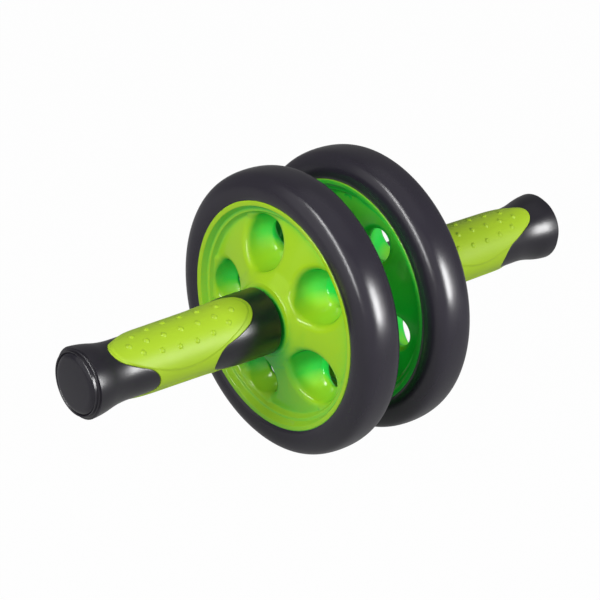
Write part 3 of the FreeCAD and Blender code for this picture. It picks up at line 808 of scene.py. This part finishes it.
    def build(self, tool: NodeTool) -> bpy.types.Object:
        """Make the rim half and ride it on its wheel.

        Args:
            tool: the tree that repeats a piece around the rod.

        Returns:
            The rim half.
        """
        name = f"{self.side.label}_{self.half.label}_rim_shell"
        values = {"Count": self.holes, "Turn": math.radians(self.turn), "Axle Height": AXLE_HEIGHT * MM,
                  "Material": RIM_PLASTIC.material()}
        mesh = tool.run(name, self.sector(), values)
        made = new_object(name, walled(mesh, self.wall))
        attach(made, self.side.wheel_body)
        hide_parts(f"{self.side.label}_{self.half.label}_rim")
        return made


@dataclass
class Handle:
    """Handle of one side: a dark flared core, a soft grip laid into it, and a cap in its end."""

    side: Side
    roll: float = 28.0
    start: float = 50.1
    end: float = 187.3
    bore: float = 6.1
    collar_radius: float = 20.95
    collar_round: float = 1.8
    taper: tuple[float, float] = (70.1, 105.1)
    waist: tuple[float, float] = (18.65, 18.15)
    flare_start: float = 157.3
    end_radius: float = 22.0
    lip_end: float = 186.6
    lip_round: float = 2.4
    lip_ease: float = 0.1
    lip_inner_round: float = 0.55
    cap_gap: float = 0.15
    cap_seat: float = 3.0
    cap_back: float = 2.9
    cap_back_round: float = 0.2
    cap_pole: float = 0.02
    plug_radii: tuple[float, float] = (13.0, 15.0)
    plug_length: float = 10.0
    plug_round: float = 0.3
    cap_radius: float = 18.9
    cap_rise: float = 1.2
    cap_sag: float = 0.35
    cap_round: float = 5.0
    cap_turn: float = 60.0
    inner_tip: float = 98.2
    outer_tip: float = 139.2
    notch_round: float = 12.0
    notch_tries: int = 8
    lobe_round: float = 34.0
    inner_flank: tuple[float, float] = (2.7, 17.2)
    outer_flank: tuple[float, float] = (3.1, 15.7)
    grip_proud: float = 0.4
    grip_depth: float = 1.3
    grip_gap: float = 0.12
    edge_run: float = 0.7
    edge_sink: float = 0.3
    bed_gap: float = 0.1
    seam: tuple[tuple[float, float], ...] = ((0.006, 0.04), (0.001, 0.2))
    seam_end: float = 0.015
    grip_crease: float = 60.0
    pad_centre: float = 117.7
    pad_half: tuple[float, float] = (48.0, 17.6)
    pad_rise: float = 0.6
    pad_edge: float = 0.7
    nub_pitch: float = 12.35
    nub_row: float = 30.2
    nub_bow: float = 15.5
    nub_pairs: int = 3
    nub_radius: float = 2.35
    nub_rise: float = 0.9
    nub_skirt: float = 0.3
    nub_foot: float = 0.5
    nub_power: float = 1.6
    nub_counts: tuple[int, int] = (16, 8)
    core_steps: tuple[int, int, int] = (40, 24, 30)
    edge_steps: int = 5
    grip_steps: int = 150
    bed_steps: int = 20
    lip_steps: int = 12
    back_steps: int = 10
    cap_steps: tuple[int, int] = (14, 24)
    cap_around: int = 128
    around: int = 180

    def skin_radius(self, along: float) -> float:
        """Return the radius of the handle's outer line at a place along it."""
        begin, finish = self.taper
        inner, outer = self.waist
        if along <= begin:
            return self.collar_radius
        if along < finish:
            drop = self.collar_radius - inner
            bend = ((finish - begin) ** 2 + drop ** 2) / (4 * drop)
            if along < (begin + finish) / 2:
                return self.collar_radius - bend + math.sqrt(bend ** 2 - (along - begin) ** 2)
            return inner + bend - math.sqrt(bend ** 2 - (finish - along) ** 2)
        if along <= self.flare_start:
            return inner + (outer - inner) * (along - finish) / (self.flare_start - finish)
        rise = self.end_radius - outer
        length = self.end - self.flare_start
        bend = (length ** 2 + rise ** 2) / (4 * rise)
        if along < self.flare_start + length / 2:
            return outer + bend - math.sqrt(bend ** 2 - (along - self.flare_start) ** 2)
        return self.end_radius - bend + math.sqrt(bend ** 2 - (self.end - along) ** 2)

    def notch(self, turn: float, tip: float, flank: tuple[float, float], outward: int) -> float:
        """Return where the grip ends along the handle.

        Args:
            turn: radians round the handle from the middle of a pad.
            tip: where the notch is deepest.
            flank: slope of the notch's straight flanks, and how far across they bend over into lobes.
            outward: sign of the notch's opening along the handle.

        Returns:
            Millimetres along the handle.
        """
        along = tip
        slope, lobe_start = flank
        steep = math.hypot(slope, 1)
        arc_across = self.notch_round * slope / steep
        for _ in range(self.notch_tries):
            across = abs(self.skin_radius(along) * math.cos(turn))
            if across < arc_across:
                depth = self.notch_round - math.sqrt(self.notch_round ** 2 - across ** 2)
            else:
                straight = min(across, lobe_start) - arc_across
                depth = self.notch_round * (1 - 1 / steep) + straight * slope
            if across > lobe_start:
                sine = slope / steep - (across - lobe_start) / self.lobe_round
                depth += self.lobe_round * (math.sqrt(1 - sine ** 2) - 1 / steep)
            along = tip + outward * depth
        return along

    def ends(self, turn: float) -> tuple[float, float]:
        """Return where the grip starts and ends along the handle at a turn."""
        return (self.notch(turn, self.inner_tip, self.inner_flank, -1),
                self.notch(turn, self.outer_tip, self.outer_flank, 1))

    def lean(self, turn: float) -> tuple[float, float]:
        """Return how much longer a step is along the handle than square to each end of the grip."""
        small = 0.01
        before, after = self.ends(turn - small), self.ends(turn + small)
        arc_length = 2 * small * self.waist[0]
        return (math.hypot(1, (after[0] - before[0]) / arc_length),
                math.hypot(1, (after[1] - before[1]) / arc_length))

    def turns(self) -> list[float]:
        """Return the turns round the handle, from the middle of a pad."""
        return [math.tau * k / self.around for k in range(self.around)]

    def place(self, along: float, radius: float, turn: float) -> Vector:
        """Return a point of the handle in the frame."""
        return rod_point(self.side.value * along, radius, turn + math.radians(self.roll))

    def pad(self, along: float, turn: float) -> float:
        """Return how far the raised pads stand up at a place on the grip."""
        long, wide = self.pad_half
        across = self.skin_radius(along) * math.sin(turn)
        away = along - self.pad_centre
        reach = math.hypot(away / long, across / wide)
        if reach < 0.5:
            return self.pad_rise
        slope = math.hypot(away / long ** 2, across * math.cos(turn) / wide ** 2) / reach
        share = min(max(0.5 + (1 - reach) / slope / (2 * self.pad_edge), 0), 1)
        return self.pad_rise * share * share * (3 - 2 * share)

    def core(self) -> bpy.types.Object:
        """Make the dark core, with a shallow bed for the grip."""
        skin = Skin()
        turns = self.turns()
        ends = [self.ends(turn) for turn in turns]
        rows: list[list[Vector]] = []

        def round_row(along: float, radius: float) -> None:
            """Add a plain round row."""
            rows.append([self.place(along, radius, turn) for turn in turns])

        def bent_row(share: float, stretch: int, drop: float) -> None:
            """Add a row between the collar, the grip's ends and the handle's end."""
            row = []
            for turn, (begin, finish) in zip(turns, ends):
                marks = (self.start + self.collar_round, begin, finish, self.lip_end - self.lip_round)
                low, high = marks[stretch:stretch + 2]
                along = low + (high - low) * share
                row.append(self.place(along, self.skin_radius(along) - drop, turn))
            rows.append(row)

        for along, radius in rounded([(self.start, self.bore, 0),
                                      (self.start, self.collar_radius, self.collar_round),
                                      (self.start + self.collar_round, self.collar_radius, 0)])[:-1]:
            round_row(along, radius)
        collar_steps, bed_steps, flare_steps = self.core_steps
        plain = 1 - self.seam_end
        for k in range(collar_steps + 1):
            bent_row(k / collar_steps * plain, 0, 0.0)
        for share, drop in self.seam:
            bent_row(1 - share, 0, drop)
        for k in range(bed_steps + 1):
            bent_row(k / bed_steps, 1, self.grip_depth + self.bed_gap)
        for share, drop in reversed(self.seam):
            bent_row(share, 2, drop)
        for k in range(flare_steps + 1):
            bent_row(self.seam_end + plain * k / flare_steps, 2, 0.0)
        cap_hole = self.cap_radius + self.cap_gap
        lip_start = self.lip_end - self.lip_round
        lip_radius = self.skin_radius(lip_start)
        for along, radius in rounded([(lip_start, lip_radius, 0),
                                      (self.lip_end, lip_radius, self.lip_round - self.lip_ease),
                                      (self.lip_end, cap_hole, self.lip_inner_round),
                                      (self.end - self.cap_seat, cap_hole, 0),
                                      (self.end - self.cap_seat, self.bore, 0)], self.lip_steps)[1:]:
            round_row(along, radius)
        skin.loft(rows, ring=True)
        name = f"{self.side.label}_handle_moulding"
        made = new_object(name, skin.mesh(name), HANDLE_PLASTIC)
        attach(made, "handlebar")
        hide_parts(f"{self.side.label}_handle_core")
        return made

    def grip(self, tool: NodeTool) -> bpy.types.Object:
        """Make the soft grip with its pads and nubs.

        Args:
            tool: the tree that sets the nubs on the grip.

        Returns:
            The grip.
        """
        skin = Skin()
        turns = self.turns()
        ends = [self.ends(turn) for turn in turns]
        leans = [self.lean(turn) for turn in turns]
        edge = []
        for k in range(self.edge_steps + 1):
            arc = math.pi / 2 * k / self.edge_steps
            edge.append((self.grip_gap + self.edge_run * (1 - math.cos(arc)),
                         -self.edge_sink + (self.edge_sink + self.grip_proud) * math.sin(arc)))

        def edge_row(end: int, run: float, rise: float) -> list[Vector]:
            """Return a row on the rounded edge at one end of the grip."""
            row = []
            for turn, limits, slants in zip(turns, ends, leans):
                along = limits[end] + (-run if end else run) * slants[end]
                row.append(self.place(along, self.skin_radius(along) + rise, turn))
            return row

        rows = [edge_row(0, run, rise) for run, rise in edge[:-1]]
        margin = edge[-1][0]
        for k in range(self.grip_steps + 1):
            row = []
            for turn, (begin, finish), (near, far) in zip(turns, ends, leans):
                length = finish - begin - margin * (near + far)
                along = begin + margin * near + length * k / self.grip_steps
                radius = self.skin_radius(along) + self.grip_proud + self.pad(along, turn)
                row.append(self.place(along, radius, turn))
            rows.append(row)
        rows += [edge_row(1, run, rise) for run, rise in reversed(edge[:-1])]
        for k in range(self.bed_steps + 1):
            row = []
            for turn, (begin, finish), (near, far) in zip(turns, ends, leans):
                length = begin - finish + self.grip_gap * (near + far)
                along = finish - self.grip_gap * far + length * k / self.bed_steps
                row.append(self.place(along, self.skin_radius(along) - self.grip_depth, turn))
            rows.append(row)
        skin.loft(rows, ring=True)
        name = f"{self.side.label}_soft_grip"
        nub = new_object(f"{name}_nub", self.nub())
        values = {"Nub": nub, "Side": float(self.side.value), "Pitch": self.nub_pitch * MM,
                  "Centre": self.pad_centre * MM, "Row Angle": math.radians(self.nub_row),
                  "Row Bow": math.radians(self.nub_bow), "Pairs": float(self.nub_pairs),
                  "Roll": math.radians(self.roll), "Axle Height": AXLE_HEIGHT * MM,
                  "Material": GRIP_RUBBER.material()}
        mesh = tool.run(name, skin.mesh(f"{name}_plain"), values)
        bpy.data.objects.remove(nub)
        soften(mesh, self.grip_crease)
        made = new_object(name, mesh)
        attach(made, "handlebar")
        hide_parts(f"{self.side.label}_grip")
        return made

    def nub(self) -> bpy.types.Mesh:
        """Return one soft nub, standing on the origin along Z, with a skirt that sinks into the pad."""
        skin = Skin()
        around, steps = self.nub_counts
        rows = []
        for k in range(steps):
            share = 1 - k / steps
            reach = self.nub_radius * share
            swell = 0.5 + 0.5 * math.cos(math.pi * share ** self.nub_power)
            rise = (self.nub_rise + self.nub_skirt) * swell - self.nub_skirt
            turns = [math.tau * n / around for n in range(around)]
            rows.append([Vector((reach * math.cos(turn), reach * math.sin(turn), rise)) * MM
                         for turn in turns])
        numbered = skin.loft(rows)
        skin.fan(numbered[-1], Vector((0, 0, self.nub_rise * MM)))
        skin.fan(numbered[0], Vector((0, 0, -self.nub_foot * MM)))
        return skin.mesh("grip_nub")

    def cap(self) -> bpy.types.Object:
        """Make the end cap: a domed disc with a rounded edge, and the plug ring behind it."""
        name = f"{self.side.label}_cap_moulding"
        end = self.end
        turn = math.radians(self.cap_turn)
        dome_edge = self.cap_radius - self.cap_round * math.sin(turn)
        middle = end + self.cap_rise - self.cap_sag - self.cap_round
        bore, plug = self.plug_radii
        line = rounded([(end - self.plug_length, bore, 0),
                        (end - self.plug_length, plug, self.plug_round), (end - self.cap_seat, plug, 0),
                        (end - self.cap_seat, self.cap_radius, self.cap_back_round),
                        (middle + self.cap_round * math.cos(turn), self.cap_radius, 0)], self.back_steps)
        edge_steps, dome_steps = self.cap_steps
        for k in range(1, edge_steps + 1):
            lean = turn * (1 - k / edge_steps)
            line.append((middle + self.cap_round * math.cos(lean),
                         dome_edge + self.cap_round * math.sin(lean)))
        for k in range(1, dome_steps):
            share = 1 - k / dome_steps
            line.append((end + self.cap_rise - self.cap_sag * share ** 2, share * dome_edge))
        line += [(end + self.cap_rise, self.cap_pole), (end - self.cap_back, self.cap_pole),
                 (end - self.cap_back, bore)]
        skin = turned_skin(line, self.cap_around, self.side.value)
        made = new_object(name, skin.mesh(name), CAP_PLASTIC)
        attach(made, "handlebar")
        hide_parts(f"{self.side.label}_end_cap")
        return made

    def build(self, tool: NodeTool) -> list[bpy.types.Object]:
        """Make every piece of the handle."""
        return [self.core(), self.grip(tool), self.cap()]


def nub_tool() -> NodeTool:
    """Return the tree that sets rows of nubs on both pads of a grip and casts them down on it."""
    names = ("Side", "Pitch", "Centre", "Row Angle", "Row Bow", "Pairs", "Roll", "Axle Height")
    tool = NodeTool("nubs_on_pads", [
        ("Nub", "NodeSocketObject"), *((name, "NodeSocketFloat") for name in names),
        ("Material", "NodeSocketMaterial")])
    wiring, given = tool.wiring, tool.given
    sums = wiring.math
    pads, lanes, reach = 2.0, 3.0, 0.03
    stations = sums("MULTIPLY_ADD", given["Pairs"], 2.0, 1.0)
    line = wiring.put("GeometryNodeMeshLine", {"Count": sums("MULTIPLY", stations, pads * lanes)})
    index = wiring.node("GeometryNodeInputIndex").outputs[0]
    step = sums("MODULO", index, stations)
    row = sums("FLOOR", sums("DIVIDE", sums("ADD", index, 0.5), stations))
    pad = sums("FLOOR", sums("DIVIDE", sums("ADD", row, 0.5), lanes))
    lane = sums("SUBTRACT", sums("MODULO", row, lanes), 1.0)
    beside = sums("ABSOLUTE", lane)
    along = sums("MULTIPLY_ADD", beside, 0.5, sums("SUBTRACT", step, given["Pairs"]))
    share = sums("DIVIDE", along, given["Pairs"])
    bow = sums("MULTIPLY", given["Row Bow"], sums("MULTIPLY", share, share))
    angle = sums("MULTIPLY", lane, sums("SUBTRACT", given["Row Angle"], bow))
    turn = sums("ADD", sums("MULTIPLY_ADD", pad, math.pi, angle), given["Roll"])
    x = sums("MULTIPLY", given["Side"], sums("MULTIPLY_ADD", along, given["Pitch"], given["Centre"]))
    y = sums("MULTIPLY", sums("SINE", turn), -reach)
    z = sums("MULTIPLY_ADD", sums("COSINE", turn), reach, given["Axle Height"])
    spots = wiring.put("GeometryNodeSetPosition", {
        "Geometry": line[0], "Position": wiring.vector(x, y, z)})
    spare = sums("MULTIPLY", beside, sums("GREATER_THAN", along, given["Pairs"]))
    kept = wiring.put("GeometryNodeDeleteGeometry", {
        "Geometry": spots[0], "Selection": sums("GREATER_THAN", spare, 0.5)})
    where = wiring.put("ShaderNodeSeparateXYZ", {0: wiring.node("GeometryNodeInputPosition").outputs[0]})
    inward = wiring.vector(0.0, sums("MULTIPLY", where["Y"], -1.0),
                           sums("SUBTRACT", given["Axle Height"], where["Z"]))
    outward = wiring.vector(0.0, where["Y"], sums("SUBTRACT", where["Z"], given["Axle Height"]))
    cast = wiring.put("GeometryNodeRaycast", {
        "Target Geometry": given["Geometry"], "Ray Direction": inward})
    landed = wiring.put("GeometryNodeSetPosition", {
        "Geometry": kept[0], "Position": cast["Hit Position"]})
    upright = wiring.put("FunctionNodeAlignRotationToVector", {"Vector": outward}, axis="Z")
    shape = wiring.put("GeometryNodeObjectInfo", {"Object": given["Nub"]})
    nubs = wiring.put("GeometryNodeInstanceOnPoints", {
        "Points": landed[0], "Instance": shape["Geometry"], "Rotation": upright[0]})
    join = wiring.node("GeometryNodeJoinGeometry")
    for piece in (given["Geometry"], nubs["Instances"]):
        wiring.feed(join.inputs["Geometry"], piece)
    tool.close(join.outputs["Geometry"])
    return tool


@dataclass
class Hardware:
    """Rod, washers, nuts, bushes, screws and spacer, which keep their solids and get their finishes."""

    finishes: dict[str, Finish] = field(default_factory=lambda: {
        "axle_rod": ROD_STEEL, "wheel_spacer": SPACER_PLASTIC, "thrust_washer": BUSH_NYLON,
        "bush": BUSH_NYLON, "end_washer": ZINC_STEEL, "lock_nut": ZINC_STEEL, "rim_screws": ZINC_STEEL,
        "tyre": TYRE_RUBBER, "rim": RIM_PLASTIC, "handle_core": HANDLE_PLASTIC, "grip": GRIP_RUBBER,
        "end_cap": CAP_PLASTIC})

    def dress(self) -> list[str]:
        """Give every carried-over node its finish, and return their names."""
        dressed = []
        for name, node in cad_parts.items():
            finish = next(finish for part, finish in self.finishes.items() if part in name)
            for slot in node.material_slots:
                slot.material = finish.material()
            dressed.append(name)
        return dressed


@dataclass
class Softbox:
    """A soft rectangular lamp that faces the roller."""

    name: str
    toward: tuple[float, float, float]
    distance: float
    size: tuple[float, float]
    power: float
    upright: tuple[float, float, float] = (0.0, 0.0, 1.0)

    def build(self, target: Vector) -> bpy.types.Object:
        """Hang the lamp.

        Args:
            target: the point it faces, in metres.

        Returns:
            The lamp.
        """
        lamp = bpy.data.lights.new(self.name, "AREA")
        lamp.shape = "RECTANGLE"
        lamp.size, lamp.size_y = self.size
        lamp.energy = self.power
        made = bpy.data.objects.new(self.name, lamp)
        away = Vector(self.toward).normalized()
        made.location = target + away * self.distance
        long = Vector(self.upright)
        long = (long - away * long.dot(away)).normalized()
        made.rotation_euler = Matrix((long.cross(away), long, away)).transposed().to_euler()
        bpy.context.scene.collection.objects.link(made)
        return made


@dataclass
class Studio:
    """White floor, soft lamps and the camera."""

    azimuth: float = -40.691
    elevation: float = 22.978
    roll: float = -0.493
    distance: float = 1443.4
    lens: float = 140.64
    shift: tuple[float, float] = (-0.0403, -0.0026)
    sensor: float = 36.0
    nearest: float = 0.05
    ambient: float = 0.12
    white: float = 0.985
    gloss_white: float = 0.2
    floor_reach: float = 6.0
    floor_grey: float = 0.3
    softboxes: tuple[Softbox, ...] = (
        Softbox("left_softbox", (-0.9, 0.15, 0.41), 1.2, (1.2, 1.2), 2.5),
        Softbox("strip_softbox", (-0.76, -0.2, 0.56), 1.2, (0.15, 1.2), 11.0, (-0.24, -0.73, -0.65)),
        Softbox("fill_softbox", (-0.5, -0.78, 0.38), 1.7, (1.9, 1.9), 4.5),
        Softbox("front_softbox", (0.4, -0.87, 0.2), 1.3, (0.26, 0.58), 15.0),
        Softbox("top_softbox", (0.1, -0.1, 1.0), 1.2, (1.2, 1.2), 1.0, (1.0, 0.0, 0.0)),
    )

    def seen(self, wiring: Wiring) -> bpy.types.NodeSocket:
        """Return how much plain white a ray sees round the roller, less by gloss than by the camera."""
        path = wiring.node("ShaderNodeLightPath").outputs
        through = wiring.math("MAXIMUM", path["Is Glossy Ray"], path["Is Transmission Ray"])
        return wiring.math("MAXIMUM", wiring.math("MULTIPLY", path["Is Camera Ray"], self.white),
                           wiring.math("MULTIPLY", through, self.gloss_white))

    def floor(self) -> bpy.types.Object:
        """Lay a plain white floor that keeps the shadow."""
        mesh = bpy.data.meshes.new("studio_floor")
        corners = [(x * self.floor_reach, y * self.floor_reach, 0)
                   for x, y in ((-1, -1), (1, -1), (1, 1), (-1, 1))]
        mesh.from_pydata(corners, [], [(0, 1, 2, 3)])
        made = new_object("studio_floor", mesh)
        paint = bpy.data.materials.new("studio_floor")
        paint.use_nodes = True
        paint.node_tree.nodes.clear()
        wiring = Wiring(paint.node_tree)
        matt = wiring.put("ShaderNodeBsdfDiffuse", {"Color": (*[self.floor_grey] * 3, 1.0)})
        glow = wiring.node("ShaderNodeEmission").outputs
        blend = wiring.put("ShaderNodeMixShader", {"Fac": self.seen(wiring), 1: matt[0], 2: glow[0]})
        wiring.put("ShaderNodeOutputMaterial", {"Surface": blend[0]})
        mesh.materials.append(paint)
        return made

    def world(self) -> None:
        """Fill the room with weak even light."""
        room = bpy.data.worlds.new("studio_room")
        bpy.context.scene.world = room
        room.use_nodes = True
        room.node_tree.nodes.clear()
        wiring = Wiring(room.node_tree)
        strength = wiring.math("MAXIMUM", self.seen(wiring), self.ambient)
        glow = wiring.put("ShaderNodeBackground", {"Color": (1, 1, 1, 1), "Strength": strength})
        wiring.put("ShaderNodeOutputWorld", {"Surface": glow[0]})

    def camera(self) -> bpy.types.Object:
        """Stand the camera at the photograph's angle."""
        lens = bpy.data.cameras.new("studio_camera")
        lens.lens = self.lens
        lens.sensor_width = self.sensor
        lens.shift_x, lens.shift_y = self.shift
        lens.clip_start = self.nearest
        made = bpy.data.objects.new("studio_camera", lens)
        turn, rise = math.radians(self.azimuth), math.radians(self.elevation)
        flat = math.cos(rise)
        back = Vector((math.sin(turn) * flat, -math.cos(turn) * flat, math.sin(rise)))
        right = Vector((math.cos(turn), math.sin(turn), 0))
        up = back.cross(right)
        level = Matrix((right, up, back)).transposed()
        facing = level @ Matrix.Rotation(math.radians(self.roll), 3, "Z")
        made.location = Vector((0, 0, AXLE_HEIGHT * MM)) + back * self.distance * MM
        made.rotation_euler = facing.to_euler()
        bpy.context.scene.collection.objects.link(made)
        bpy.context.scene.camera = made
        return made

    def build(self) -> None:
        """Set up the room."""
        bpy.context.scene.view_settings.view_transform = "Standard"
        self.floor()
        self.world()
        for softbox in self.softboxes:
            softbox.build(Vector((0, 0, AXLE_HEIGHT * MM)))
        self.camera()


WHEEL_TURNS = ((Side.LEFT, -13.0), (Side.RIGHT, 35.0))


def main() -> None:
    """Build every piece in order."""
    logging.basicConfig(level=logging.INFO, format="%(name)s: %(message)s")
    Studio().build()
    log.info("dressed %s nodes", len(Hardware().dress()))
    around, nubs = ring_tool(), nub_tool()
    for side, turn in WHEEL_TURNS:
        log.info("made %s", Tyre(side).build().name)
        for half in Half:
            log.info("made %s", Rim(side, half, turn).build(around).name)
        for piece in Handle(side).build(nubs):
            log.info("made %s", piece.name)


if __name__ == "__main__":
    main()
